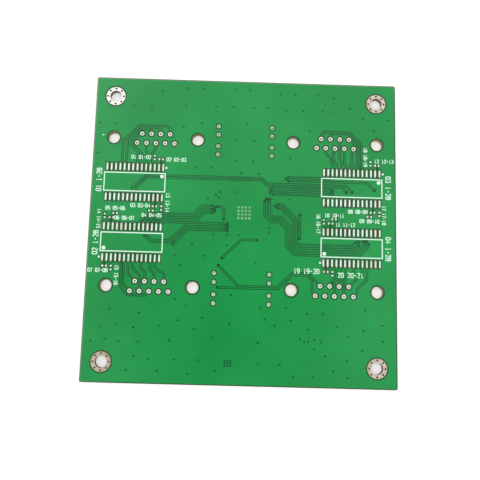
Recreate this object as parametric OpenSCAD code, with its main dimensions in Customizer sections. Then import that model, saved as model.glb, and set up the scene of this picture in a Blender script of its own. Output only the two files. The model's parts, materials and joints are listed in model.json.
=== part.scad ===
// Bare printed circuit board: laminate, etched copper, plated holes, solder mask and legend.
// Frame: X to the right, Y up the board, Z out of the routed side.
// The origin is the board's centre, at the level of the lands on its underside.

/* [Board] */
// Width of the board, along X
board_w = 90; // [88:1:110]
// Depth of the board, along Y
board_d = 90; // [88:1:110]
// Thickness of the laminate
board_t = 1.6; // [0.8:0.2:2.4]
// Radius of the board's corners
corner_r = 0.5; // [0.2:0.1:2]

/* [Layers] */
// Thickness of the etched copper
copper_t = 0.035; // [0.018:0.001:0.07]
// Solder mask over copper
mask_t = 0.03; // [0.02:0.005:0.04]
// How much lower the mask lies over bare laminate
mask_dip = 0.02; // [0.01:0.001:0.02]
// Height of a tinned land above the laminate
land_t = 0.08; // [0.075:0.005:0.12]
// Wall of the plating inside a hole
plate_t = 0.03; // [0.02:0.005:0.05]
// Thickness of the legend ink
ink_t = 0.02; // [0.01:0.005:0.03]
// Strip along the board's edges that has no copper
pullback = 0.4; // [0.2:0.1:0.8]

/* [Mounting holes] */
// Finished diameter of a corner mounting hole
mount_d = 3.4; // [3:0.1:3.8]
// Diameter of its tinned land
mount_land_d = 6; // [5.6:0.1:6.4]
// From each edge of the board to a hole's centre
mount_inset = 5.8; // [5.4:0.1:6.2]
// Drill of the small holes round a land
ring_via_d = 0.6; // [0.3:0.1:0.6]

/* [Ports] */
// Centre of the left ports, along X
port_left_x = -26.6; // [-26.8:0.1:-26.4]
// Centre of the right ports, along X
port_right_x = 26.9; // [26.7:0.1:27.1]
// Centre of the upper ports, along Y
port_upper_y = 26.4; // [26.2:0.1:26.6]
// Centre of the lower ports, along Y
port_lower_y = -17.6; // [-17.8:0.1:-17.4]
// From one pin to the next along a row
pin_pitch = 2.77; // [2.74:0.01:2.8]
// Between the two rows of pins
pin_rows = 2.84; // [2.8:0.01:2.88]
// Finished diameter of a pin hole
pin_d = 1; // [0.9:0.05:1.1]
// Diameter of a pin land
pin_land_d = 1.6; // [1.5:0.05:1.7]
// Between a port's two posts
post_span = 24.99; // [24.9:0.01:25.1]
// Diameter of a post hole
post_d = 3.4; // [3:0.1:3.5]

/* [Lamps] */
// Columns of lamp leads, to each side of the middle
lamp_x = 8; // [7.8:0.1:8.2]
// Between the two leads of a lamp
lead_pitch = 2.54; // [2.5:0.01:2.6]
// Between the middles of the two lamps of a stack
lamp_span = 6.1; // [5.9:0.1:6.3]
// Finished diameter of a lead hole
lead_d = 0.8; // [0.7:0.05:0.9]
// Diameter of a lead land
lead_land_d = 1.4; // [1.3:0.05:1.5]

/* [Driver chips] */
// Centre of the left drivers, along X
driver_left_x = -32.3; // [-32.4:0.1:-32.2]
// Centre of the right drivers, along X
driver_right_x = 31.9; // [31.8:0.1:32]
// Centre of the upper drivers, along Y
driver_upper_y = 13; // [12.9:0.1:13.1]
// Centre of the lower drivers, along Y
driver_lower_y = -4.9; // [-5:0.1:-4.8]
// Between the middles of a driver's two rows of pads
pad_rows = 9.12; // [9:0.04:9.2]
// Length of a pad
pad_l = 2.3; // [2.1:0.1:2.4]
// Width of a pad
pad_w = 0.55; // [0.5:0.05:0.7]

/* [Capacitor lands] */
// Length of a land across the pair
cap_land_w = 0.6; // [0.5:0.05:0.65]
// Length of a land along the pair
cap_land_l = 0.55; // [0.45:0.05:0.6]
// Between the middles of a pair
cap_span = 1.06; // [1:0.02:1.1]

/* [Tracks] */
// Width of a signal track
track_w = 0.25; // [0.2:0.01:0.25]
// Gap between copper and its neighbours
gap = 0.25; // [0.2:0.01:0.25]
// From one track of a bundle to the next
track_pitch = 0.5; // [0.5:0.01:0.52]
// Drill of a via
via_d = 0.25; // [0.2:0.05:0.35]
// Diameter of a via's land
via_land_d = 0.5; // [0.45:0.01:0.52]
// From one heat via to the next
heat_pitch = 1.08; // [1:0.02:1.2]
// Diameter of a heat via's land
heat_land_d = 0.6; // [0.5:0.05:0.65]

/* [Hidden] */

// Levels, from the underside's lands up
z_core = land_t;
z_top = z_core + board_t;
z_copper = z_top + copper_t;
z_mask_low = z_copper + mask_t - mask_dip;
z_mask = z_copper + mask_t;
z_land = z_top + land_t;
z_ink = z_mask + ink_t;

// Bare laminate round a hole's land, and round a post hole
hole_relief = 0.25;
post_relief = 0.5;
// Space that the mask leaves round a land, and round a post hole
mask_gap = 0.08;
post_mask_gap = 0.16;
// Least radius of the pour's own corners
pour_r = 0.1;
// Small vias round each mounting hole, midway across its land
ring_vias = 8;
ring_via_r = (mount_d + mount_land_d) / 4;
// How wide the mask sinks over a via, and how thickly it covers one underneath
dimple_d = 0.62;
mask_over_vias = 0.02;
// Pads in each row of a driver, and from one to the next
row_pads = 14;
pad_pitch = 1.27;
// How far a track runs straight out of a pad, and how far every other via of a bundle is set back
lead_out = 0.3;
stagger = 0.8;
// Grid of open vias near the middle: its centre, and how many there are to a side
heat_at = [0.2, 4.7];
heat_side = 4;
// Printed outline of a driver: its size and line, and where its first-pin marks are
box_size = [18.2, 5.8];
line_w = 0.3;
mark_at = [8, 1.85];
mark_d = 1.1;
spot_at = [9.2, 4.5];
spot_d = 0.6;
// Facets of a large hole, of a pin hole and of a via
fn_hole = 48;
fn_pin = 24;
fn_via = 16;
// How far a drill reaches past what it cuts
cut = 1;

mask_green = [0.16, 0.61, 0.31];
mask_dull = [0.13, 0.42, 0.24];
copper_red = [0.78, 0.50, 0.34];
tin_grey = [0.83, 0.83, 0.78];
ink_white = [0.93, 0.97, 0.93];
core_tan = [0.72, 0.70, 0.48];

// Quadrants are numbered 0 upper left, 1 upper right, 2 lower left, 3 lower right
QUADRANTS = [0 : 3];
function is_upper(q) = q < 2;
function is_left(q) = q % 2 == 0;

// ---- Where things are ----

function mount_at(q) = [
    (is_left(q) ? -1 : 1) * (board_w / 2 - mount_inset),
    (is_upper(q) ? 1 : -1) * (board_d / 2 - mount_inset)];
function port_at(q) = [is_left(q) ? port_left_x : port_right_x, is_upper(q) ? port_upper_y : port_lower_y];
function lamp_at(q) = [is_left(q) ? -lamp_x : lamp_x, is_upper(q) ? port_upper_y : port_lower_y];
function driver_at(q) = [is_left(q) ? driver_left_x : driver_right_x, is_upper(q) ? driver_upper_y : driver_lower_y];

// A port's pins: 0 to 4 are the lower row and 5 to 8 the upper row, each from left to right
function pin_at(q, n) = port_at(q) + (n < 5 ?
    [(n - 2) * pin_pitch, -pin_rows / 2] :
    [(n - 6.5) * pin_pitch, pin_rows / 2]);
function port_pin_points(q) = [for (n = [0 : 8]) pin_at(q, n)];
function post_points(q) = [for (s = [-1, 1]) port_at(q) + [s * post_span / 2, 0]];
function lead_points(q) = [for (pair = [-1, 1], lead = [-1, 1])
    lamp_at(q) + [0, pair * lamp_span / 2 + lead * lead_pitch / 2]];

function pad_x(q, n) = driver_at(q).x + (n - (row_pads - 1) / 2) * pad_pitch;
// The end of a pad, n from the left: side 1 is the upper row, away 1 its outer end
function pad_end(q, n, side, away = 1) = [
    pad_x(q, n), driver_at(q).y + side * (pad_rows / 2 + away * pad_l / 2)];

// Round a driver, each capacitor as [x, y, turn] from its centre; the lower drivers are turned round
CAPS = [[5.6, 7.6, 90], [7.5, 7.1, 0], [6.2, -7.15, 0], [8.2, -7.6, 90], [5.2, -8.45, 0]];
function turned(q, p) = is_upper(q) ? driver_at(q) + p : driver_at(q) - p;

function heat_points() = [for (i = [0 : heat_side - 1], j = [0 : heat_side - 1])
    heat_at + heat_pitch * [i - (heat_side - 1) / 2, j - (heat_side - 1) / 2]];

// ---- Routes ----

function unit(v) = v / norm(v);
function normal(v) = [-v.y, v.x];
// The unit of sideways offset at a point of a route, mitred where the route turns
function miter(p, i) =
    let (last = len(p) - 1,
        a = normal(unit(i > 0 ? p[i] - p[i - 1] : p[1] - p[0])),
        b = normal(unit(i < last ? p[i + 1] - p[i] : p[last] - p[last - 1])))
    (a + b) / (1 + a * b);
function beside(p, d) = [for (i = [0 : len(p) - 1]) p[i] + d * miter(p, i)];
function backwards(p) = [for (i = [len(p) - 1 : -1 : 0]) p[i]];
// The outline of a track along a route
function strip(p, w) = concat(beside(p, w / 2), backwards(beside(p, -w / 2)));
// A route made longer at each end
function stretched(p, start, end) =
    let (last = len(p) - 1)
    [for (i = [0 : last])
        i == 0 ? p[0] + start * unit(p[0] - p[1]) :
        i == last ? p[last] + end * unit(p[last] - p[last - 1]) : p[i]];
// Parallel tracks, counted from the route's right-hand side, with every other end set back
function bundle(p, n, start = stagger, end = stagger) = [for (k = [0 : n - 1])
    stretched(beside(p, (k - (n - 1) / 2) * track_pitch), start * (k % 2), end * (k % 2))];
// A route that leaves a driver's pad straight, then turns 45 degrees to join the points given
function from_pad(q, n, side, p) =
    let (e = pad_end(q, n, side), out = e + [0, side * lead_out], rise = abs(p[0].y - out.y))
    concat([e, out, [e.x + rise, p[0].y]], [for (i = [1 : len(p) - 1]) p[i]]);
function starts(routes) = [for (p = routes) p[0]];
function ends(routes) = [for (p = routes) p[len(p) - 1]];

// From the upper left driver to the upper right one
DRIVER_BUS = [
    [pad_end(0, 6, -1, -1), [pad_x(0, 6), 11.3], [-29, 15.2], [5.4, 15.2], [7, 13.6], [30.2, 13.6], [32, 11.8]],
    [pad_end(0, 7, -1, -1), [pad_x(0, 7), 11.6], [-28.6, 14.6], [5.1, 14.6], [6.6, 13.1], [28.9, 13.1],
        [30.3, 11.7]]];

// Into the upper right driver
RIGHT_UPPER_BUS = concat(
    bundle([[8.6, 11.5], [25.4, 11.5]], 5),
    [[[13.2, 15.7], [24.2, 15.7], pad_end(1, 1, 1, -1)],
        [[12.4, 15.2], [24.98, 15.2], pad_end(1, 2, 1, -1)],
        [[13.2, 14.7], [36.4, 14.7], [38.6, 12.5]]]);

// Down the right-hand column and into the lower right driver
RIGHT_LOWER_BUS = concat(
    bundle([[7, 8.2], [7, 4.4], [8.4, 3], [10.9, 3], [13.5, 0.4], [13.5, -4.55], [15.5, -6.55], [33.6, -6.55],
        [36, -4.15], [36, -3.6]], 4),
    bundle([[10.2, 6.9], [11.2, 6.9], [15.25, 2.85], [15.25, -3.8], [16.25, -4.8], [32.2, -4.8], [33.4, -3.6]], 3),
    [[[16.6, 4.4], [16.6, -2.5]]]);

// From the lower left driver's pads to the middle
heat_bus_tracks = 5;
HEAT_PAD_TRACKS = bundle([[-22, 2.8], [-14.3, 2.8], [-11.6, 5.5], [-9.2, 5.5]], heat_bus_tracks, 0);
HEAT_PAD_BUS = concat(
    [for (k = [0 : heat_bus_tracks - 1]) from_pad(2, 12 - k, 1, HEAT_PAD_TRACKS[k])],
    [from_pad(2, 13, 1, [[-22, 1.3], [-4.6, 1.3]]),
        [[-7.5, 6.3], [-6.6, 6.3], [-5.7, 5.4], [-5.7, 2.6]]]);
// From the middle to the lower left driver: two tracks that pass under it and two that stop short
LEFT_BUS = concat(
    bundle(beside([[-5.4, 0.05], [-16.2, 0.05], [-21.1, -4.85], [-27, -4.85], [-28.2, -3.65]], -track_pitch), 2),
    bundle(beside([[-5.4, 0.05], [-16.2, 0.05], [-20.2, -4.05]], track_pitch), 2));

SIGNAL_LINE = [
    [[-5.9, -8.8], [-0.4, -3.3], [4.2, -3.3]],
    [[-6.8, -11], [-0.95, -16.85], [10.35, -16.85], [14.5, -12.7], [19.26, -12.7], pin_at(3, 5)],
    [[-6.9, -17.35], [10.55, -17.35], [14.7, -13.2], [18.9, -13.2], [20.4, -14.7], [20.4, -18.06], pin_at(3, 0)]];

// From each driver to its port, one list for each quadrant
PORT_LINKS = [
    [[pad_end(0, 3, 1), [pad_x(0, 3), 19.1], [-36.3, 19.56], [-36.3, 25.6], [-31.6, 30.3], [-23.35, 30.3],
            [pin_at(0, 8).x, 29.4], pin_at(0, 8)],
        [pad_end(0, 4, 1), [pad_x(0, 4), 19.1], [-35, 19.56], [-35, 26.1], [-31.3, 29.8], [-25.9, 29.8],
            [pin_at(0, 7).x, 29.1], pin_at(0, 7)],
        [pad_end(0, 7, 1), [pad_x(0, 7), 21.97], [-34.1, 24.4], [-34.1, 26.15], [-30.95, 29.3], [-28.6, 29.3],
            [pin_at(0, 6).x, 28.7], pin_at(0, 6)],
        [pad_end(0, 8, 1), [pad_x(0, 8), 21.4], [-33.6, 24.6], [-33.6, 25.2], [-31, 27.8], pin_at(0, 5)],
        [pad_end(0, 9, 1), [pad_x(0, 9), 22.2], [pin_at(0, 1).x, 22.5], pin_at(0, 1)],
        [pad_end(0, 10, 1), [pad_x(0, 10), 21.7], [pin_at(0, 2).x, 22.9], pin_at(0, 2)]],
    [[pad_end(1, 2, 1), [pad_x(1, 2), 20.1], [25.7, 20.6], [25.7, 21.8], [pin_at(1, 1).x, 23.4], pin_at(1, 1)],
        [pad_end(1, 3, 1), [pad_x(1, 3), 20.2], [26.4, 21.3], [26.4, 23.5], [pin_at(1, 2).x, 24], pin_at(1, 2)],
        [pad_end(1, 4, 1), [pad_x(1, 4), 20.8], [pin_at(1, 7).x, 21.3], pin_at(1, 7)],
        [pad_end(1, 5, 1), [pad_x(1, 5), 19.7], [pin_at(1, 3).x, 20.1], pin_at(1, 3)],
        [pad_end(1, 6, 1), [pad_x(1, 6), 19.6], [31.9, 20.2], [31.9, 23.7], [pin_at(1, 4).x, 24.2], pin_at(1, 4)],
        [pad_end(1, 7, 1), [pad_x(1, 7), 19.5], [33.6, 20.5], [33.6, 25.5], [31.3, 27.8], pin_at(1, 8)],
        [pad_end(1, 8, 1), [pad_x(1, 8), 19.5], [34.1, 19.8], [34.1, 26.45], [31.05, 29.5], [26.1, 29.5],
            [pin_at(1, 6).x, 28.9], pin_at(1, 6)],
        [pad_end(1, 9, 1), [pad_x(1, 9), 19.2], [34.7, 19.6], [34.7, 26.6], [31.3, 30], [23.6, 30],
            [pin_at(1, 5).x, 29.1], pin_at(1, 5)]],
    [[pad_end(2, 4, -1), [pad_x(2, 4), -11], [-34.9, -11.6], [-34.9, -17.95], [-32.65, -20.2], [-27.7, -20.2],
            pin_at(2, 2)],
        [pad_end(2, 5, -1), [pad_x(2, 5), -16.9], pin_at(2, 0)],
        [pad_end(2, 6, -1), [pad_x(2, 6), -13.9], pin_at(2, 5)],
        [pad_end(2, 7, -1), [pad_x(2, 7), -12.3], [pin_at(2, 1).x, -14.6], pin_at(2, 1)],
        [pad_end(2, 9, -1), [pad_x(2, 9), -12.4], [pin_at(2, 6).x, -13.6], pin_at(2, 6)],
        [pad_end(2, 11, -1), [pad_x(2, 11), -12.6], [pin_at(2, 7).x, -14], pin_at(2, 7)],
        [pad_end(2, 12, -1), [pad_x(2, 12), -11.9], [-23.9, -13.3], [-23.1, -13.3], [pin_at(2, 8).x, -14],
            pin_at(2, 8)]],
    [[pad_end(3, 10, -1), [pad_x(3, 10), -13.9], [33.5, -16.75], [33.5, -17.95], pin_at(3, 4)],
        [pad_end(3, 9, -1), [pad_x(3, 9), -12.2], pin_at(3, 8)],
        [pad_end(3, 7, -1), [pad_x(3, 7), -11.6], [pin_at(3, 3).x, -14.5], pin_at(3, 3)],
        [pad_end(3, 5, -1), [pad_x(3, 5), -13.2], [pin_at(3, 7).x, -14.9], pin_at(3, 7)],
        [pad_end(3, 4, -1), [pad_x(3, 4), -12.9], [pin_at(3, 2).x, -14.7], pin_at(3, 2)],
        [pad_end(3, 3, -1), [pad_x(3, 3), -13.4], [pin_at(3, 6).x, -15.3], pin_at(3, 6)]]];

// From a driver's pads to its capacitors: places along X of links above and below the driver
links_above = [5.6, 6.98, 8.1];
links_below = [5.7, 6.85, 8.2];
far_link = 4.6;
far_link_end = -8.3;
function cap_links(q) =
    let (pad_y = pad_rows / 2 + pad_l / 2, land_y = 6.95)
    [for (l = concat(
            [for (x = links_above) [x, land_y, pad_y]],
            [for (x = links_below) [x, -land_y, -pad_y]],
            [[far_link, far_link_end, -pad_y]]))
        [turned(q, [l.x, l.y]), turned(q, [l.x, l[2]])]];
FAN_OUT = [for (q = QUADRANTS) concat(PORT_LINKS[q], cap_links(q))];

ALL_ROUTES = concat(DRIVER_BUS, RIGHT_UPPER_BUS, RIGHT_LOWER_BUS, HEAT_PAD_BUS, LEFT_BUS, SIGNAL_LINE,
    FAN_OUT[0], FAN_OUT[1], FAN_OUT[2], FAN_OUT[3]);

// Vias at the free ends of the tracks
SIGNAL_VIA_POINTS = concat(
    ends(DRIVER_BUS), starts(RIGHT_UPPER_BUS),
    [for (k = [0, 1, 2, 3, 4, 7]) ends(RIGHT_UPPER_BUS)[k]],
    starts(RIGHT_LOWER_BUS), ends(RIGHT_LOWER_BUS),
    ends(HEAT_PAD_BUS), [[-7.5, 6.3]], starts(LEFT_BUS), ends(LEFT_BUS),
    starts(SIGNAL_LINE), [[4.2, -3.3]]);

// Vias that tie the pour to ground, as rows of [y, places along x]
STITCHES = [
    [42.4, [-17.9, -12.9, -3.1, 1.1]], [41.3, [-25.3, 10.3, 14.9, 21.5]], [40.5, [26.4]],
    [36.9, [-18, -9, -3.7, 2.4, 6.6]], [36.3, [-33.5, -28.3, 12.1, 17.3, 23.1, 26.4]], [37.4, [31.2]],
    [34.2, [35.2, 43]], [31.6, [-13, 0.5]], [30.8, [-43.4, -38.6, 38.5]], [30.2, [-18.5, 19.2]],
    [26.6, [-2.6, 2.7]], [21.5, [-43.6, 13.5]], [20.3, [-2.6, 2.5]], [18, [-14.4, -9.9]], [16.6, [-1, 4.3]],
    [10.8, [-7, -2]], [9.8, [-8.2]], [9, [-7.3, 13.6]], [8.6, [-10.5]], [0.5, [7.7]], [-0.9, [7.7]],
    [-2, [-8.6, -4.6, -1.1]], [-5, [-14.7, -4.6]], [-8.3, [-19.6, -10.9]], [-9.9, [3.7]], [-11.2, [-18]],
    [-19.4, [-2.9]], [-21.1, [-18.9]], [-22.8, [-15.8, 5.6, 13, 35.8]], [-24.3, [-37.6, 19, 23.6]],
    [-25.2, [-29.1]], [-26.2, [-11, 6.9, 14.4]], [-27.1, [-18, 40.7]], [-27.8, [-3.2, 9.8, 27.7]],
    [-28.7, [-35.4, -23.3, 19.4, 35.3]], [-29.4, [-40, -30.5, -13.2]], [-30.5, [30.9]],
    [-31.6, [-8.1, 17.1, 21.2, 40.9]], [-32.2, [18.3, 19.5, 23.2]], [-32.8, [-38.5, -20.1, 5.1]],
    [-33.4, [-34.5, -29, -42.5]], [-34.2, [21.2, 34.9]], [-36.1, [24.3]], [-37.3, [-30, 30.6]],
    [-38.1, [-26, -18.6, -11.9, -4.2, -3.4, -2.6]], [-38.8, [-4.2, -3.4, -2.6, 5.2, 11.5]],
    [-39.5, [-4.2, -3.4, -2.6]], [-40.2, [26.6]], [-40.9, [-6.9]], [-41.3, [-32, -23.3]],
    [-42, [-14.6, 15.3, 21, 30.7]]];
STITCH_POINTS = [for (row = STITCHES, x = row[1]) [x, row[0]]];

// ---- Flat shapes ----

function arc(c, r, a0, a1, n = 4) = [for (k = [0 : n])
    let (a = a0 + (a1 - a0) * k / n) c + r * [cos(a), sin(a)]];
// The board's outline, set in from its edges
module outline(inset = 0) {
    x = board_w / 2 - corner_r;
    y = board_d / 2 - corner_r;
    r = max(corner_r - inset, pour_r);
    reach = corner_r - inset - r;
    polygon(concat(
        arc([x + reach, y + reach], r, 0, 90), arc([-x - reach, y + reach], r, 90, 180),
        arc([-x - reach, -y - reach], r, 180, 270), arc([x + reach, -y - reach], r, 270, 360)));
}
module discs(points, d, fn) {
    for (p = points) translate(p) circle(d = d, $fn = fn);
}
module strips(routes, w) {
    for (p = routes) polygon(strip(p, w));
}
// A driver's two rows of pads, each pad grown by a margin
module pad_shapes(q, margin = 0) {
    for (n = [0 : row_pads - 1], side = [-1, 1])
        translate([pad_x(q, n), driver_at(q).y + side * pad_rows / 2])
            square([pad_w + 2 * margin, pad_l + 2 * margin], center = true);
}
// One block round each row of pads
module row_shapes(q, margin) {
    for (side = [-1, 1])
        translate(driver_at(q) + [0, side * pad_rows / 2])
            square([(row_pads - 1) * pad_pitch + pad_w + 2 * margin, pad_l + 2 * margin], center = true);
}
module cap_shapes(q, margin = 0) {
    for (c = CAPS, s = [-1, 1])
        translate(turned(q, [c.x, c.y])) rotate(c[2])
            translate([s * cap_span / 2, 0])
                square([cap_land_l + 2 * margin, cap_land_w + 2 * margin], center = true);
}
module cap_fields(q, margin) {
    for (c = CAPS)
        translate(turned(q, [c.x, c.y])) rotate(c[2])
            square([cap_span + cap_land_l + 2 * margin, cap_land_w + 2 * margin], center = true);
}

// Places kept bare, where the pour would leave specks, as [x, y, diameter]; a driver's are from its centre
DRIVER_KEEP_OUTS = [[7.54, 6.25, 0.9], [6.27, -6.28, 1]];
KEEP_OUTS = [
    [35.75, -3, 0.4], [7.25, 8.8, 0.4], [-8.6, 5.5, 0.4], [-4.8, -0.2, 0.4], [-4.8, 0.8, 0.4],
    [26, 11.5, 0.4], [8, 11.5, 0.4], [-33.2, 24.85, 0.5], [25, 15.85, 1.2], [-34.75, -11, 1],
    [34.4, 19.15, 0.8], [26.45, -15.35, 1.2]];
// Between the tracks that spread from the lower left driver's pads
KEEP_OUT_FAN = [[-30.2, 1], [-24.2, 1], [-24.2, 1.5], [-27.6, 3.7]];

ALL_PINS = [for (q = QUADRANTS, p = port_pin_points(q)) p];
ALL_LEADS = [for (q = QUADRANTS, p = lead_points(q)) p];
ALL_POSTS = [for (q = QUADRANTS, p = post_points(q)) p];
ALL_MOUNTS = [for (q = QUADRANTS) mount_at(q)];

function ring_points(q) = [for (k = [0 : ring_vias - 1])
    mount_at(q) + ring_via_r * [cos(k * 360 / ring_vias), sin(k * 360 / ring_vias)]];
ALL_RING_VIAS = [for (q = QUADRANTS, p = ring_points(q)) p];

// Every hole through the laminate, before plating
module drilled() {
    discs(ALL_MOUNTS, mount_d + 2 * plate_t, fn_hole);
    discs(ALL_RING_VIAS, ring_via_d, fn_via);
    discs(ALL_POSTS, post_d, fn_hole);
    discs(ALL_PINS, pin_d + 2 * plate_t, fn_pin);
    discs(ALL_LEADS, lead_d + 2 * plate_t, fn_pin);
    discs(heat_points(), via_d + 2 * plate_t, fn_via);
    discs(STITCH_POINTS, via_d + 2 * plate_t, fn_via);
    discs(SIGNAL_VIA_POINTS, via_d + 2 * plate_t, fn_via);
}
// Bare laminate between the pour and everything else on the routed side
module clearances() {
    strips(ALL_ROUTES, track_w + 2 * gap);
    for (q = QUADRANTS) {
        row_shapes(q, gap);
        cap_fields(q, gap);
        for (k = DRIVER_KEEP_OUTS) translate(turned(q, [k.x, k.y])) circle(d = k[2], $fn = fn_via);
    }
    for (k = KEEP_OUTS) translate([k.x, k.y]) circle(d = k[2], $fn = fn_via);
    polygon(KEEP_OUT_FAN);
    discs(ALL_MOUNTS, mount_land_d + 2 * hole_relief, fn_hole);
    discs(ALL_POSTS, post_d + 2 * post_relief, fn_hole);
    discs(ALL_PINS, pin_land_d + 2 * hole_relief, fn_pin);
    discs(ALL_LEADS, lead_land_d + 2 * hole_relief, fn_pin);
    discs(SIGNAL_VIA_POINTS, via_land_d + 2 * gap, fn_via);
}
// Places where the mask stays open, on either side
module openings() {
    discs(ALL_MOUNTS, mount_land_d + 2 * mask_gap, fn_hole);
    discs(ALL_POSTS, post_d + 2 * post_mask_gap, fn_hole);
    discs(ALL_PINS, pin_land_d + 2 * mask_gap, fn_pin);
    discs(ALL_LEADS, lead_land_d + 2 * mask_gap, fn_pin);
    discs(heat_points(), heat_land_d + 2 * mask_gap, fn_via);
}
// On the routed side, the pads' as well
module routed_side_openings() {
    openings();
    for (q = QUADRANTS) {
        pad_shapes(q, mask_gap);
        cap_shapes(q, mask_gap);
    }
}

// ---- Sub-parts ----

module laminate() {
    color(core_tan) translate([0, 0, z_core]) linear_extrude(board_t) difference() {
        outline();
        drilled();
    }
}
module ground_pour() {
    color(copper_red) translate([0, 0, z_top]) linear_extrude(copper_t) difference() {
        outline(pullback);
        clearances();
        discs(heat_points(), heat_land_d, fn_via);
        discs(STITCH_POINTS, via_land_d, fn_via);
    }
}
// Tracks that butt on their vias and pins, and on the pads of the drivers they serve
module tracks(routes, drivers) {
    color(copper_red) translate([0, 0, z_top]) linear_extrude(copper_t) difference() {
        strips(routes, track_w);
        discs(ALL_PINS, pin_land_d, fn_pin);
        discs(SIGNAL_VIA_POINTS, via_land_d, fn_via);
        for (q = drivers) {
            pad_shapes(q);
            cap_shapes(q);
        }
    }
}
module driver_bus() { tracks(DRIVER_BUS, [0, 1]); }
module heat_pad_bus() { tracks(HEAT_PAD_BUS, [2]); }
module left_bus() { tracks(LEFT_BUS, [2]); }
module right_upper_bus() { tracks(RIGHT_UPPER_BUS, [1]); }
module right_lower_bus() { tracks(RIGHT_LOWER_BUS, [3]); }
module signal_line() { tracks(SIGNAL_LINE, []); }
module fan_out(q) { tracks(FAN_OUT[q], [q]); }

module driver_pads(q) {
    color(tin_grey) translate([0, 0, z_top]) linear_extrude(land_t) pad_shapes(q);
}
module capacitor_lands(q) {
    color(tin_grey) translate([0, 0, z_top]) linear_extrude(land_t) cap_shapes(q);
}

// Plating of one hole: a tube with a land at each end, turned about its axis
module plated_hole(hole_d, land_d, top, fn, bottom = 0) {
    rotate_extrude($fn = fn) polygon([
        [hole_d / 2, bottom], [land_d / 2, bottom], [land_d / 2, z_core],
        [hole_d / 2 + plate_t, z_core], [hole_d / 2 + plate_t, z_top],
        [land_d / 2, z_top], [land_d / 2, top], [hole_d / 2, top]]);
}
module plated_holes(points, hole_d, land_d, top, fn, bottom = 0) {
    for (p = points) translate(p) plated_hole(hole_d, land_d, top, fn, bottom);
}
module port_pins(q) { color(tin_grey) plated_holes(port_pin_points(q), pin_d, pin_land_d, z_land, fn_pin); }
module lamp_leads(q) { color(tin_grey) plated_holes(lead_points(q), lead_d, lead_land_d, z_land, fn_pin); }
module heat_vias() { color(tin_grey) plated_holes(heat_points(), via_d, heat_land_d, z_land, fn_via); }
// Vias under the mask have bare copper lands
module masked_vias(points) {
    color(copper_red) plated_holes(points, via_d, via_land_d, z_copper, fn_via, z_core - copper_t);
}
module stitching_vias() { masked_vias(STITCH_POINTS); }
module signal_vias() { masked_vias(SIGNAL_VIA_POINTS); }
module mount_land(q) {
    color(tin_grey) difference() {
        translate(mount_at(q)) plated_hole(mount_d, mount_land_d, z_land, fn_hole);
        for (p = ring_points(q))
            translate([p.x, p.y, -cut]) cylinder(h = z_land + 2 * cut, d = ring_via_d, $fn = fn_via);
    }
}

// The mask fills the gaps between copper, dips over them, and lies higher on the copper
module solder_mask_top() {
    color(mask_green) {
        translate([0, 0, z_top]) linear_extrude(copper_t) difference() {
            union() {
                difference() {
                    outline();
                    outline(pullback);
                }
                intersection() {
                    outline(pullback);
                    clearances();
                }
            }
            strips(ALL_ROUTES, track_w);
            routed_side_openings();
            discs(SIGNAL_VIA_POINTS, via_land_d, fn_via);
        }
        translate([0, 0, z_copper]) linear_extrude(z_mask_low - z_copper) difference() {
            outline();
            routed_side_openings();
        }
        translate([0, 0, z_mask_low]) linear_extrude(z_mask - z_mask_low) difference() {
            outline(pullback);
            difference() {
                clearances();
                strips(ALL_ROUTES, track_w);
            }
            routed_side_openings();
            discs(STITCH_POINTS, dimple_d, fn_via);
            discs(SIGNAL_VIA_POINTS, dimple_d, fn_via);
        }
    }
}
module solder_mask_bottom() {
    color(mask_dull) {
        translate([0, 0, z_core - copper_t]) linear_extrude(copper_t) difference() {
            outline();
            openings();
            discs(STITCH_POINTS, via_land_d, fn_via);
            discs(SIGNAL_VIA_POINTS, via_land_d, fn_via);
        }
        translate([0, 0, z_core - copper_t - mask_over_vias]) linear_extrude(mask_over_vias) difference() {
            outline();
            openings();
        }
    }
}

// Printed outline of a driver, with the marks at its first pin
module driver_outline(q) {
    color(ink_white) translate([0, 0, z_mask]) linear_extrude(ink_t) {
        translate(driver_at(q)) difference() {
            square(box_size, center = true);
            square(box_size - 2 * [line_w, line_w], center = true);
        }
        translate(turned(q, mark_at)) circle(d = mark_d, $fn = fn_pin);
        translate(turned(q, spot_at)) circle(d = spot_d, $fn = fn_via);
    }
}

laminate();
ground_pour();
solder_mask_top();
solder_mask_bottom();
driver_bus();
heat_pad_bus();
left_bus();
right_upper_bus();
right_lower_bus();
signal_line();
stitching_vias();
signal_vias();
heat_vias();
for (q = QUADRANTS) {
    fan_out(q);
    driver_pads(q);
    capacitor_lands(q);
    port_pins(q);
    lamp_leads(q);
    mount_land(q);
    driver_outline(q);
}
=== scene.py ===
import json
import math
from itertools import count

import bmesh
import bpy
from mathutils import Matrix, Vector


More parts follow.
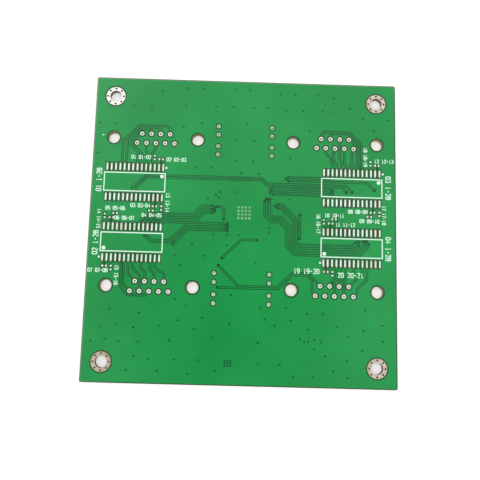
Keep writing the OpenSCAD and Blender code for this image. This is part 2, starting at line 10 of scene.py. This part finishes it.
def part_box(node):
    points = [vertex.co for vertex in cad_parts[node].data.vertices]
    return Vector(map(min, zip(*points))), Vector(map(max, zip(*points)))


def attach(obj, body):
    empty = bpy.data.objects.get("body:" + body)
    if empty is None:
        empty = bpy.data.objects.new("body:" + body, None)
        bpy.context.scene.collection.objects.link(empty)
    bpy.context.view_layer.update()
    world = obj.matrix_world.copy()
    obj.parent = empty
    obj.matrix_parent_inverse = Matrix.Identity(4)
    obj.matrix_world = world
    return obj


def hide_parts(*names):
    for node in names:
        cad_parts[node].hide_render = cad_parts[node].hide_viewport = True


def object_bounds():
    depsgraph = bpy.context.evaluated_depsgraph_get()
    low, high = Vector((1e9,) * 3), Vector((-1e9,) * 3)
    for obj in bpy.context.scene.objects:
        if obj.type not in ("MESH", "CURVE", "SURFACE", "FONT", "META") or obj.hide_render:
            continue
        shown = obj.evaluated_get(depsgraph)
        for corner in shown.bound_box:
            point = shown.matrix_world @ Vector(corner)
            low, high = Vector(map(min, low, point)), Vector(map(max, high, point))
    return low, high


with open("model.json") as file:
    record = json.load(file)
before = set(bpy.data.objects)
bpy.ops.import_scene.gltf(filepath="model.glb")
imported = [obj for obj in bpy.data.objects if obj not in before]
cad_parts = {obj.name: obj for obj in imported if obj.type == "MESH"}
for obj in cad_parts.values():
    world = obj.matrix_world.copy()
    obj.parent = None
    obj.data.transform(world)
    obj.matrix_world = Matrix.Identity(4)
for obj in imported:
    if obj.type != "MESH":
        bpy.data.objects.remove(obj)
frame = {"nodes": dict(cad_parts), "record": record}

cad_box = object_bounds()
MM = 0.001

# ---- Camera ----

IMAGE_WIDTH = 480
FOCAL_PIXELS = 578
SENSOR_WIDTH = 36
NEAREST = 10 * MM
CAMERA_PLACE = Vector((-2.49, -26.06, 168.77)) * MM
CAMERA_YAW = math.radians(-4.38)
CAMERA_TILT = math.radians(7.75)
CAMERA_ROLL = math.radians(5.98)


def place_camera():
    lens = bpy.data.cameras.new("camera")
    lens.sensor_width = SENSOR_WIDTH
    lens.lens = SENSOR_WIDTH * FOCAL_PIXELS / IMAGE_WIDTH
    lens.clip_start = NEAREST
    camera = bpy.data.objects.new("camera", lens)
    turn = (Matrix.Rotation(CAMERA_YAW, 4, "Z") @ Matrix.Rotation(CAMERA_TILT, 4, "X")
            @ Matrix.Rotation(CAMERA_ROLL, 4, "Z"))
    camera.matrix_world = Matrix.Translation(CAMERA_PLACE) @ turn
    bpy.context.scene.collection.objects.link(camera)
    bpy.context.scene.camera = camera


# ---- Node trees ----

class Socket:
    """A node's output, with arithmetic that adds Math nodes."""

    def __init__(self, tree, output):
        self.tree = tree
        self.output = output

    def math(self, operation, *values):
        return self.tree.node("ShaderNodeMath", {"operation": operation}, *values)

    def __add__(self, other): return self.math("ADD", self, other)
    def __radd__(self, other): return self.math("ADD", other, self)
    def __sub__(self, other): return self.math("SUBTRACT", self, other)
    def __rsub__(self, other): return self.math("SUBTRACT", other, self)
    def __mul__(self, other): return self.math("MULTIPLY", self, other)
    def __rmul__(self, other): return self.math("MULTIPLY", other, self)
    def __truediv__(self, other): return self.math("DIVIDE", self, other)
    def __pow__(self, other): return self.math("POWER", self, other)
    def __abs__(self): return self.math("ABSOLUTE", self)
    def __gt__(self, other): return self.math("GREATER_THAN", self, other)

    def larger(self, other): return self.math("MAXIMUM", self, other)

    def wave(self, length):
        """A sine of the given wavelength in metres, from -1 to 1."""
        return self.math("SINE", self * (2 * math.pi / length))

    def between(self, low, high, at_low=0, at_high=1):
        """Where the value lies from low to high, as a number from at_low to at_high."""
        return self.tree.node("ShaderNodeMapRange", {"interpolation_type": "SMOOTHSTEP"},
                              self, low, high, at_low, at_high)


class Tree:
    """A shader or geometry tree with one way to add a node."""

    def __init__(self, tree):
        self.tree = tree

    def node(self, kind, settings=None, *values, **named):
        """Adds a node and returns its first output that is in use; outputs() gives them all."""
        return self.outputs(kind, settings, *values, **named)[0]

    def outputs(self, kind, settings=None, *values, **named):
        node = self.tree.nodes.new(kind)
        for name, value in (settings or {}).items():
            setattr(node, name, value)
        inputs = [s for s in node.inputs if s.enabled]
        for socket, value in zip(inputs, values):
            self.feed(socket, value)
        for name, value in named.items():
            label = name.replace("_", " ").lower()
            self.feed(next(s for s in inputs if s.name.lower() == label), value)
        return [Socket(self, s) for s in node.outputs if s.enabled] or [node]

    def feed(self, socket, value):
        if isinstance(value, Socket):
            self.tree.links.new(value.output, socket)
        elif value is not None:
            socket.default_value = value

    # Shader shorthand

    def place(self):
        """The point of the surface in the frame, in metres."""
        return self.outputs("ShaderNodeTexCoord")[3]

    def along(self, point):
        return self.outputs("ShaderNodeSeparateXYZ", None, point)

    def noise(self, size, detail=2, roughness=0.5, stretch=None):
        """Cloudy noise from 0 to 1 whose lumps are about the given size in millimetres."""
        at = self.place()
        if stretch:
            at = self.node("ShaderNodeVectorMath", {"operation": "MULTIPLY"}, at, stretch)
        return self.node("ShaderNodeTexNoise", {"noise_dimensions": "3D"}, vector=at,
                         scale=1 / (size * MM), detail=detail, roughness=roughness)

    def mix(self, share, first, second):
        return self.node("ShaderNodeMix", {"data_type": "RGBA"}, factor=share, a=first, b=second)

    def shade(self, colour, amount):
        """A colour made lighter or darker by a number round 1."""
        return self.node("ShaderNodeVectorMath", {"operation": "SCALE"}, colour, scale=amount)

    def bump(self, height, depth):
        """Relief of the given depth in millimetres."""
        return self.node("ShaderNodeBump", None, strength=1, distance=depth * MM, height=height)

    def surface(self, **named):
        shader = self.outputs("ShaderNodeBsdfPrincipled", None, **named)[0]
        self.node("ShaderNodeOutputMaterial", None, shader)


def rgb(red, green, blue):
    """A colour given as it looks on a screen, from 0 to 255."""
    def linear(c):
        c /= 255
        return c / 12.92 if c <= 0.04045 else ((c + 0.055) / 1.055) ** 2.4
    return (linear(red), linear(green), linear(blue), 1)


def material(name):
    made = bpy.data.materials.new(name)
    made.use_nodes = True
    made.node_tree.nodes.clear()
    return made, Tree(made.node_tree)


# ---- Levels and edges, from the frame ----

Z_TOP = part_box("laminate")[1][2]
Z_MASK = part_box("solder_mask_top")[1][2]
Z_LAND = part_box("driver_pads_1")[1][2]
Z_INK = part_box("driver_outline_1")[1][2]
HALF_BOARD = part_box("laminate")[1][0]
HALF_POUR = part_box("ground_pour")[1][0]
MOUNT_LOW, MOUNT_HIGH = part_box("mount_land_2")
MOUNT_X, MOUNT_Y = (MOUNT_LOW[0] + MOUNT_HIGH[0]) / 2, (MOUNT_LOW[1] + MOUNT_HIGH[1]) / 2
MOUNT_LAND = (MOUNT_HIGH[0] - MOUNT_LOW[0]) / 2
MOUNT_BORE = 1.7 * MM


# ---- Finishes ----

MASK_DIP = 0.02 * MM            # how far the mask lies lower beside the copper
FOIL_BLEND = 0.05 * MM          # to either side of the foil's outer edge
RIM_START, RIM_FULL = 0.3 * MM, 0.2 * MM    # the mask's bare rim, in from the sawn edge
LIT_BLEND = 10 * MM             # to either side of the diagonal, where the painted shade of the bottom and right edges turns to the painted highlight of the top and left
WEAVE_YARN = 0.45 * MM
PLY = 0.2 * MM
SKIN = 0.04 * MM                # of the laminate, stained by the mask on it
# Where the painted shade on a land's foot gives way to its bright crest, down from its top, and where a
# barrel's wall starts
CREST_FOOT, CREST_FULL = 0.045 * MM, 0.02 * MM
BARREL_END = 0.02 * MM
# Round a mounting hole: the land's dark rim, in from its edge, and the brown bore, out from its wall
LAND_RIM_START, LAND_RIM_FULL = 0.22 * MM, 0.1 * MM
BORE_FULL, BORE_END = 0.01 * MM, 0.03 * MM


def top_mask():
    """Glossy green lacquer: bright over copper, dark over bare laminate; along the sawn edge a painted
    highlight makes it pale on the top and left sides, and painted shade darkens the bottom and right.
    """
    made, t = material("green_mask_over_copper")
    x, y, z = t.along(t.place())
    over_copper = z.between(Z_MASK - 0.8 * MASK_DIP, Z_MASK - 0.2 * MASK_DIP)
    reach = abs(x).larger(abs(y))
    edge = reach.between(HALF_POUR - FOIL_BLEND, HALF_POUR + FOIL_BLEND)
    rim = reach.between(HALF_BOARD - RIM_START, HALF_BOARD - RIM_FULL)
    painted_lit_side = (y - x).between(-LIT_BLEND, LIT_BLEND)
    cloud = t.noise(26, 3)
    flow = t.noise(4, 3, 0.6)
    grain = t.noise(0.22, 2, 0.7)
    copper_green = t.mix(cloud.between(0.3, 0.7), rgb(4, 139, 63), rgb(18, 150, 72))
    bare_green = t.mix(flow.between(0.35, 0.65), rgb(2, 74, 36), rgb(10, 92, 46))
    colour = t.mix(over_copper, bare_green, copper_green)
    # The pour's edge band and the bare rim are painted lighter on the top and left sides, a painted
    # highlight, and darker on the bottom and right, painted shade.
    colour = t.mix(edge, colour, t.mix(painted_lit_side, rgb(48, 130, 66), rgb(96, 156, 104)))
    colour = t.mix(rim, colour, t.mix(painted_lit_side, rgb(20, 62, 42), rgb(104, 116, 104)))
    colour = t.shade(colour, 0.94 + 0.12 * grain)
    peel = t.noise(0.9, 2, 0.5)
    t.surface(base_color=colour, roughness=0.18 + 0.08 * grain + 0.04 * flow, specular_ior_level=0.38,
              normal=t.bump(0.6 * peel + 0.4 * grain, 0.004))
    return made


def bottom_mask():
    """The same lacquer straight on the laminate, so its weave shows through."""
    made, t = material("green_mask_over_laminate")
    x, y, z = t.along(t.place())
    cloud = t.noise(20, 3)
    grain = t.noise(0.25, 2, 0.7)
    weave = woven(t, x, y)
    colour = t.mix(cloud.between(0.3, 0.7), rgb(48, 118, 66), rgb(62, 134, 78))
    colour = t.shade(colour, 0.9 + 0.08 * grain + 0.1 * weave)
    t.surface(base_color=colour, roughness=0.26 + 0.14 * grain, normal=t.bump(weave, 0.004))
    return made


def woven(t, x, y):
    """Plain glass weave, from 0 to 1."""
    return 0.5 + 0.5 * x.wave(WEAVE_YARN) * y.wave(WEAVE_YARN)


def core_laminate():
    """Glass-epoxy board: plies along the sawn edge, speckled by cut fibres."""
    made, t = material("glass_epoxy_board")
    x, y, z = t.along(t.place())
    plies = z.wave(PLY)
    fibres = t.noise(0.3, 3, 0.7, stretch=(1, 1, 4))
    stain = t.noise(9, 3)
    weave = woven(t, x, y)
    colour = t.mix(fibres.between(0.35, 0.7), rgb(142, 132, 84), rgb(196, 186, 138))
    colour = t.mix(stain.between(0.4, 0.8) * 0.4, colour, rgb(112, 108, 70))
    face = z.between(Z_TOP - SKIN, Z_TOP)
    colour = t.mix(face * 0.75, colour, rgb(66, 70, 38))
    colour = t.shade(colour, 0.92 + 0.06 * plies + 0.06 * weave)
    t.surface(base_color=colour, roughness=0.62 + 0.2 * fibres, normal=t.bump(plies * 0.3 + fibres, 0.02))
    return made


def tin(t, clean, dulled):
    """The colour of tin that has dulled in places, with its roughness and its ripples."""
    patch = t.noise(0.7, 3, 0.6)
    dull = t.noise(14, 2).between(0.35, 0.65)
    colour = t.shade(t.mix(dull, clean, dulled), patch.between(0.3, 0.7, 0.86, 1))
    return colour, {"roughness": 0.34 + 0.25 * patch, "normal": t.bump(t.noise(0.3, 2, 0.6), 0.012)}


def levelled_solder(name, clean, dulled, foot=rgb(52, 66, 40), metallic=0.25):
    """Hot-air-levelled tin, bright on the crest and in the barrel, with painted shade in the foot colour
    round the foot of each land.
    """
    made, t = material(name)
    x, y, z = t.along(t.place())
    middle = Z_LAND / 2
    level = abs(z - middle)
    crest = level.between(middle - CREST_FOOT, middle - CREST_FULL)
    barrel = level.between(Z_TOP - middle - BARREL_END, Z_TOP - middle, 1, 0)
    colour, feel = tin(t, clean, dulled)
    # Away from the crest and the barrel, the sides of each land take the foot colour, painted shade where
    # the land meets the mask.
    t.surface(base_color=t.mix(crest.larger(barrel), foot, colour), metallic=metallic, **feel)
    return made


def screwed_solder(name, clean, dulled):
    """Tin round a mounting hole: dark at the land's rim, brown inside the hole."""
    made, t = material(name)
    x, y, z = t.along(t.place())
    reach = ((abs(x) - MOUNT_X) ** 2 + (abs(y) - MOUNT_Y) ** 2) ** 0.5
    colour, feel = tin(t, clean, dulled)
    land_rim = reach.between(MOUNT_LAND - LAND_RIM_START, MOUNT_LAND - LAND_RIM_FULL)
    past_bore = reach.between(MOUNT_BORE + BORE_FULL, MOUNT_BORE + BORE_END)
    colour = t.mix(land_rim, colour, rgb(58, 70, 46))
    colour = t.mix(past_bore, rgb(150, 124, 110), colour)
    t.surface(base_color=colour, metallic=0.45, **feel)
    return made


def legend_ink():
    """White screen-printed ink, a little thin in places so the green tints it."""
    made, t = material("legend_ink")
    thin = t.noise(0.35, 2, 0.6)
    colour = t.mix(thin.between(0.45, 0.8), rgb(228, 255, 238), rgb(200, 238, 212))
    t.surface(base_color=colour, roughness=0.5 + 0.2 * thin, normal=t.bump(thin, 0.006))
    return made


def bare_copper():
    """Etched foil, brown where it has oxidised."""
    made, t = material("copper_foil")
    patch = t.noise(1.5, 3, 0.6)
    colour = t.mix(patch.between(0.3, 0.7), rgb(196, 122, 84), rgb(150, 88, 60))
    t.surface(base_color=colour, metallic=1, roughness=0.32 + 0.2 * patch,
              normal=t.bump(t.noise(0.2, 2), 0.004))
    return made


# ---- Shapes that repeat ----

# The bore that solder leaves in each round land, and the barrel's wall, as shares of the land's diameter
PIN_BORE, PIN_WALL = 0.7 / 1.6, 0.18 / 1.6
LEAD_BORE, LEAD_WALL = 0.62 / 1.4, 0.12 / 1.4
HEAT_BORE, HEAT_WALL = 0.25 / 0.88, 0.03 / 0.88
# How far solder spreads past a heat via's land
HEAT_SPREAD = 0.88 / 0.6
# The thickness of a round land, as a share of the whole height
LAND_HEIGHT = 0.08 / 1.76
# The solder on a round land: shares of its width out from the bore, and of its thickness down from the crest
LAND_SECTION = [(0, 0.4), (0.12, 0.1), (0.25, 0), (0.4, 0.1), (0.55, 0.35), (0.8, 0.7), (1, 0.9)]
PAD_VERTS = (5, 7, 2)


def geometry_tree(name, sizes):
    """A geometry tree with named number inputs, and its input sockets by name."""
    group = bpy.data.node_groups.new(name, "GeometryNodeTree")
    group.interface.new_socket(name="Geometry", in_out="INPUT", socket_type="NodeSocketGeometry")
    for size, value in sizes.items():
        made = group.interface.new_socket(name=size, in_out="INPUT", socket_type="NodeSocketFloat")
        made.default_value = value
    group.interface.new_socket(name="Geometry", in_out="OUTPUT", socket_type="NodeSocketGeometry")
    t = Tree(group)
    given = {s.output.name: s for s in t.outputs("NodeGroupInput") if s.output.name}
    return t, given


def finish_tree(t, geometry, finish):
    """Ends a tree in real faces with their material."""
    real = t.node("GeometryNodeRealizeInstances", None, geometry)
    t.node("NodeGroupOutput", None, t.node("GeometryNodeSetMaterial", None, real, material=finish))


def tiled_tree(t, points, tile, finish):
    """Ends a tree in a tile at every point, scaled to the point's size attribute."""
    size = t.node("GeometryNodeInputNamedAttribute", {"data_type": "FLOAT_VECTOR"}, "size")
    tiles = t.node("GeometryNodeInstanceOnPoints", None, points, instance=tile, scale=size)
    finish_tree(t, tiles, finish)


def grown(name, mesh, t, sizes, finish):
    """A plain mesh object from what the tree makes of a mesh."""
    carrier = bpy.data.objects.new(name + "_base", mesh)
    bpy.context.scene.collection.objects.link(carrier)
    modifier = carrier.modifiers.new("shape", "NODES")
    modifier.node_group = t.tree
    for item in t.tree.interface.items_tree:
        if item.in_out == "INPUT" and item.name in sizes:
            modifier[item.identifier] = sizes[item.name]
    bpy.context.view_layer.update()
    evaluated = carrier.evaluated_get(bpy.context.evaluated_depsgraph_get())
    made = bpy.data.meshes.new_from_object(evaluated)
    bpy.data.objects.remove(carrier)
    made.materials.clear()
    made.materials.append(finish)
    piece = bpy.data.objects.new(name, made)
    bpy.context.scene.collection.objects.link(piece)
    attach(piece, "root")
    return piece


def pad_tree(finish):
    """A crowned pad with rounded corners at every point, to that point's own size."""
    t, given = geometry_tree("tinned_pads", {"Crown": 0.45, "Corner": 0.1})
    tile = t.node("GeometryNodeMeshCube", None, (1, 1, 1), *PAD_VERTS)
    x, y, z = t.along(t.node("GeometryNodeInputPosition"))
    u, v = abs(x) * 2, abs(y) * 2
    # Only the corners draw in, and the crown falls away sooner across the pad than along it
    pull = 1 - given["Corner"] * (u * v) ** 4
    fall = 1 - (1 - u ** 3) * (1 - v ** 5)
    top = z > 0
    moved = t.node("ShaderNodeCombineXYZ", None, x * pull, y * pull, z - top * fall * given["Crown"])
    tile = t.node("GeometryNodeSetPosition", None, tile, position=moved)
    tile = t.node("GeometryNodeSetShadeSmooth", None, tile)
    tiled_tree(t, given["Geometry"], tile, finish)
    return t


def ring_tree(name, bore, wall, finish):
    """A plated hole with a rounded land at each end, at every point, to that point's own size."""
    inner, width = bore / 2, (1 - bore) / 2
    foot = 0.5 - LAND_HEIGHT
    top = [(inner + out * width, 0.5 - down * LAND_HEIGHT) for out, down in LAND_SECTION]
    top += [(0.5, foot), (inner + wall, foot)]
    profile = top + [(r, -z) for r, z in reversed(top)]
    t, given = geometry_tree(name, {})
    tile = bpy.data.objects.new(name + "_tile", lathed(profile))
    shape = t.outputs("GeometryNodeObjectInfo", None, tile)[-1]
    shape = t.node("GeometryNodeSetShadeSmooth", None, shape)
    tiled_tree(t, given["Geometry"], shape, finish)
    return t


def lathed(profile, steps=32):
    """A ring turned from its cross-section, a clockwise loop of radius and height."""
    n = len(profile)
    verts, faces = [], []
    for k in range(steps):
        angle = 2 * math.pi * k / steps
        verts += [(r * math.cos(angle), r * math.sin(angle), z) for r, z in profile]
        here, there = k * n, (k + 1) % steps * n
        for i in range(n):
            after = (i + 1) % n
            faces.append((here + i, here + after, there + after, there + i))
    mesh = bpy.data.meshes.new("ring")
    mesh.from_pydata(verts, [], faces)
    return mesh


WELD = 0.001 * MM


def blocks(node):
    """The middle and size of each separate block in a CAD node."""
    work = bmesh.new()
    work.from_mesh(frame["nodes"][node].data)
    bmesh.ops.remove_doubles(work, verts=work.verts, dist=WELD)
    left = set(work.verts)
    found = []
    while left:
        spread = [left.pop()]
        block = []
        while spread:
            vert = spread.pop()
            block.append(vert.co.copy())
            for edge in vert.link_edges:
                other = edge.other_vert(vert)
                if other in left:
                    left.remove(other)
                    spread.append(other)
        low = Vector(min(p[i] for p in block) for i in range(3))
        high = Vector(max(p[i] for p in block) for i in range(3))
        found.append(((low + high) / 2, high - low))
    work.free()
    return sorted(found, key=lambda b: (round(b[0].y, 5), b[0].x))


def tinned(node, tree, finish, spread=1):
    """Replaces each block of a node with the tree's tile, which may spread wider."""
    places = blocks(node)
    points = bpy.data.meshes.new(node + "_points")
    points.from_pydata([middle for middle, size in places], [], [])
    sizes = points.attributes.new("size", "FLOAT_VECTOR", "POINT")
    for i, (middle, size) in enumerate(places):
        sizes.data[i].vector = size * Vector((spread, spread, 1))
    piece = grown(node + "_tinned", points, tree, {}, finish)
    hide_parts(node)


# ---- Legend ----

# Strokes of each figure on a grid 4 wide and 6 high
FIGURES = {
    "0": [[(1, 0), (3, 0), (4, 1), (4, 5), (3, 6), (1, 6), (0, 5), (0, 1), (1, 0)]],
    "1": [[(1, 5), (2, 6), (2, 0)], [(1, 0), (3, 0)]],
    "2": [[(0, 5), (1, 6), (3, 6), (4, 5), (4, 4), (0, 0), (4, 0)]],
    "3": [[(0, 6), (4, 6), (2, 3.6), (3, 3.6), (4, 2.6), (4, 1), (3, 0), (1, 0), (0, 1)]],
    "4": [[(3, 0), (3, 6), (0, 2), (4, 2)]],
    "5": [[(4, 6), (0, 6), (0, 3.5), (3, 3.5), (4, 2.5), (4, 1), (3, 0), (0, 0)]],
    "6": [[(3.5, 6), (1.5, 6), (0, 4), (0, 1), (1, 0), (3, 0), (4, 1), (4, 2.5), (3, 3.5), (0, 3.5)]],
    "7": [[(0, 6), (4, 6), (1.5, 0)]],
    "8": [[(1, 3.4), (0, 4.4), (0, 5), (1, 6), (3, 6), (4, 5), (4, 4.4), (3, 3.4), (1, 3.4)],
          [(1, 3.4), (0, 2.4), (0, 1), (1, 0), (3, 0), (4, 1), (4, 2.4), (3, 3.4)]],
    "9": [[(0.5, 0), (2.5, 0), (4, 2), (4, 5), (3, 6), (1, 6), (0, 5), (0, 3.5), (1, 2.5), (4, 2.5)]],
    "-": [[(0.5, 3), (3.5, 3)]],
    " ": [],
}
FIGURE_WIDTH = 0.5      # of its height
FIGURE_STEP = 0.73      # from one figure to the next, of its height
ACROSS, UP, DOWN = 0, 90, -90
DIRECTION = {ACROSS: "across", UP: "up", DOWN: "down"}

SMALL, MIDDLING, LARGE = 1.0, 1.3, 1.4
# Height, direction and middle of each label, in millimetres: the large ones number the drivers,
# and the others the small parts
LABELS = [
    (SMALL, ACROSS, [(-30.7, 20.6), (-20.25, 20.1), (-30.25, 6), (-26.85, 3.2), (-37.55, 5.05),
                     (-34.75, 2.2), (-41.65, -13.3), (33.7, 5.95), (37.1, 3.2), (26.8, 4.65),
                     (30, 1.95), (41.5, 21.4)]),
    (SMALL, DOWN, [(-22.3, 7.1), (-42.15, 1.85), (-36.2, -14.55), (22.1, 2.1), (41.4, 5.1),
                   (35.95, 22.6)]),
    (MIDDLING, ACROSS, [(18.75, -11.95), (31.55, -12.85)]),
    (LARGE, UP, [(-42.8, 13.45), (-42.8, -5.25)]),
    (LARGE, DOWN, [(42.7, 13.35), (42.6, -4.85)]),
]
INK_WIDTH = {SMALL: 0.25, MIDDLING: 0.27, LARGE: 0.3}
DRIVER_PINS = 28
# A stray spot of ink near the left edge: its ends
INK_SPOT = ((-42.55, 27), (-42, 27.2))


def lettered(text, height, turn, middle):
    """The strokes of a label, in millimetres."""
    spin = Matrix.Rotation(math.radians(turn), 2)
    width = ((len(text) - 1) * FIGURE_STEP + FIGURE_WIDTH) * height
    strokes = []
    for i, figure in enumerate(text):
        start = Vector((i * FIGURE_STEP * height - width / 2, -height / 2))
        for stroke in FIGURES[figure]:
            points = [start + Vector((x / 4 * FIGURE_WIDTH, y / 6)) * height for x, y in stroke]
            strokes.append([Vector(middle) + spin @ p for p in points])
    return strokes


def stroke_tree(finish):
    """A flat bead of ink along every edge."""
    t, given = geometry_tree("ink_strokes", {"Width": 0.15 * MM, "Rise": 0.02 * MM, "Level": 0.001})
    line = t.node("GeometryNodeMeshToCurve", None, given["Geometry"])
    ring = t.node("GeometryNodeCurvePrimitiveCircle", {"mode": "RADIUS"}, resolution=8,
                  radius=given["Width"] / 2)
    bead = t.node("GeometryNodeCurveToMesh", None, curve=line, profile_curve=ring, fill_caps=True)
    x, y, z = t.along(t.node("GeometryNodeInputPosition"))
    height = z / given["Width"] * 2 * given["Rise"] + given["Level"]
    flat = t.node("ShaderNodeCombineXYZ", None, x, y, height)
    finish_tree(t, t.node("GeometryNodeSetPosition", None, bead, position=flat), finish)
    return t


def label_text(number, height):
    if height == LARGE:
        return f"{number:02d} 1-{DRIVER_PINS}"
    return f"{number:02d} {number:02d}-{number + 1:02d}"


def print_legend(tree, finish):
    """One piece for each size and direction of label."""
    drivers, parts = count(1), count(1)
    for height, turn, middles in LABELS:
        numbers = drivers if height == LARGE else parts
        strokes = [s for middle in middles
                   for s in lettered(label_text(next(numbers), height), height, turn, middle)]
        if height == LARGE and turn == UP:
            strokes.append([Vector(end) for end in INK_SPOT])
        verts, edges = [], []
        for stroke in strokes:
            first = len(verts)
            verts += [(p.x * MM, p.y * MM, 0) for p in stroke]
            edges += [(first + i, first + i + 1) for i in range(len(stroke) - 1)]
        mesh = bpy.data.meshes.new("strokes")
        mesh.from_pydata(verts, edges, [])
        name = f"legend_{round(height * 10)}_{DIRECTION[turn]}"
        sizes = {"Width": INK_WIDTH[height] * MM, "Rise": Z_INK - Z_MASK, "Level": Z_MASK}
        grown(name, mesh, tree, sizes, finish)


# ---- Floor and light ----

FLOOR_SIZE = 1.6
FLOOR_GAP = 0.02 * MM
FLOOR_GLOW = 0.36       # as the camera sees it


def lay_floor():
    made, t = material("pale_floor")
    fine = t.noise(60, 2)
    board = t.node("ShaderNodeBsdfDiffuse", None, t.mix(fine, rgb(236, 236, 236), rgb(240, 240, 240)))
    seen = t.outputs("ShaderNodeLightPath")[0]
    glow = t.node("ShaderNodeEmission", None, (1, 1, 1, 1), seen * FLOOR_GLOW)
    t.node("ShaderNodeOutputMaterial", None, t.node("ShaderNodeAddShader", None, board, glow))
    mesh = bpy.data.meshes.new("floor")
    half = FLOOR_SIZE / 2
    corners = [(-half, -half, 0), (half, -half, 0), (half, half, 0), (-half, half, 0)]
    mesh.from_pydata(corners, [], [(0, 1, 2, 3)])
    mesh.materials.append(made)
    floor = bpy.data.objects.new("floor", mesh)
    floor.location.z = cad_box[0][2] - FLOOR_GAP
    bpy.context.scene.collection.objects.link(floor)


# The ceiling is dim right overhead, where the camera is held, and bright beyond
WORLD_LEVEL = 1.07
OVERHEAD_LEVEL = 0.08
OVERHEAD_CORE = math.radians(3)
OVERHEAD_REACH = math.radians(15)
WINDOW_PLACE = Vector((-0.30, 0.42, 0.72))
WINDOW_SIZE = 0.3
WINDOW_POWER = 0.3


def hang_window():
    """A soft lamp that faces the middle of the board."""
    lamp = bpy.data.lights.new("window", "AREA")
    lamp.shape = "DISK"
    lamp.size = WINDOW_SIZE
    lamp.energy = WINDOW_POWER
    window = bpy.data.objects.new("window", lamp)
    window.location = WINDOW_PLACE
    window.rotation_euler = (-WINDOW_PLACE).to_track_quat("-Z", "Y").to_euler()
    bpy.context.scene.collection.objects.link(window)


def light_scene():
    world = bpy.data.worlds.new("studio")
    world.use_nodes = True
    world.node_tree.nodes.clear()
    t = Tree(world.node_tree)
    up = t.along(t.outputs("ShaderNodeTexCoord")[0])[2]
    strength = up.between(math.cos(OVERHEAD_REACH), math.cos(OVERHEAD_CORE), WORLD_LEVEL, OVERHEAD_LEVEL)
    t.node("ShaderNodeOutputWorld", None, t.node("ShaderNodeBackground", None, (1, 1, 1, 1), strength))
    bpy.context.scene.world = world
    hang_window()
    bpy.context.scene.view_settings.view_transform = "Standard"


# ---- Put together ----

place_camera()

# Each foot colour below is painted shade round the lands' feet.
solder = levelled_solder("levelled_solder", rgb(240, 255, 242), rgb(220, 240, 212))
small_solder = levelled_solder("small_land_solder", rgb(236, 255, 238), rgb(220, 242, 214),
                               foot=rgb(150, 170, 140))
pin_solder = levelled_solder("pin_solder", rgb(250, 255, 246), rgb(240, 255, 232), foot=rgb(34, 78, 42),
                             metallic=0.08)
greened_solder = levelled_solder("greened_solder", rgb(196, 252, 208), rgb(160, 240, 178))
via_solder = levelled_solder("via_solder", rgb(140, 228, 162), rgb(100, 204, 130), foot=rgb(70, 118, 62))
# The first mounting land's tin is painted brighter and whiter as a painted reflection; the other three take
# the same tin painted duller and tan, without it.
mount_tin = screwed_solder("mount_tin", rgb(250, 255, 248), rgb(240, 244, 234))
mount_tin_painted_dim = screwed_solder("mount_tin_painted_dim", rgb(222, 214, 198), rgb(190, 176, 152))
ink = legend_ink()
slot_finishes = {"copper": bare_copper(), "laminate": core_laminate(), "tinned_copper": solder, "ink": ink}
own_finishes = {"solder_mask_top": top_mask(), "solder_mask_bottom": bottom_mask(),
                "mount_land_1": mount_tin}
# The other three mounting lands take the tin painted dull, without the painted reflection.
for k in (2, 3, 4):
    own_finishes[f"mount_land_{k}"] = mount_tin_painted_dim
for part in frame["record"]["subparts"]:
    node = part["node"]
    finish = own_finishes.get(node) or slot_finishes[part["material_slot"]]
    for slot in frame["nodes"][node].material_slots:
        slot.material = finish

pads, small_pads = pad_tree(solder), pad_tree(small_solder)
pins = ring_tree("pins", PIN_BORE, PIN_WALL, pin_solder)
leads = ring_tree("leads", LEAD_BORE, LEAD_WALL, greened_solder)
for k in range(1, 5):
    tinned(f"driver_pads_{k}", pads, solder)
    tinned(f"capacitor_lands_{k}", small_pads, small_solder)
    tinned(f"port_pins_{k}", pins, pin_solder)
    tinned(f"lamp_leads_{k}", leads, greened_solder)
heat = ring_tree("heat_vias", HEAT_BORE, HEAT_WALL, via_solder)
tinned("heat_vias", heat, via_solder, HEAT_SPREAD)
print_legend(stroke_tree(ink), ink)

lay_floor()
light_scene()
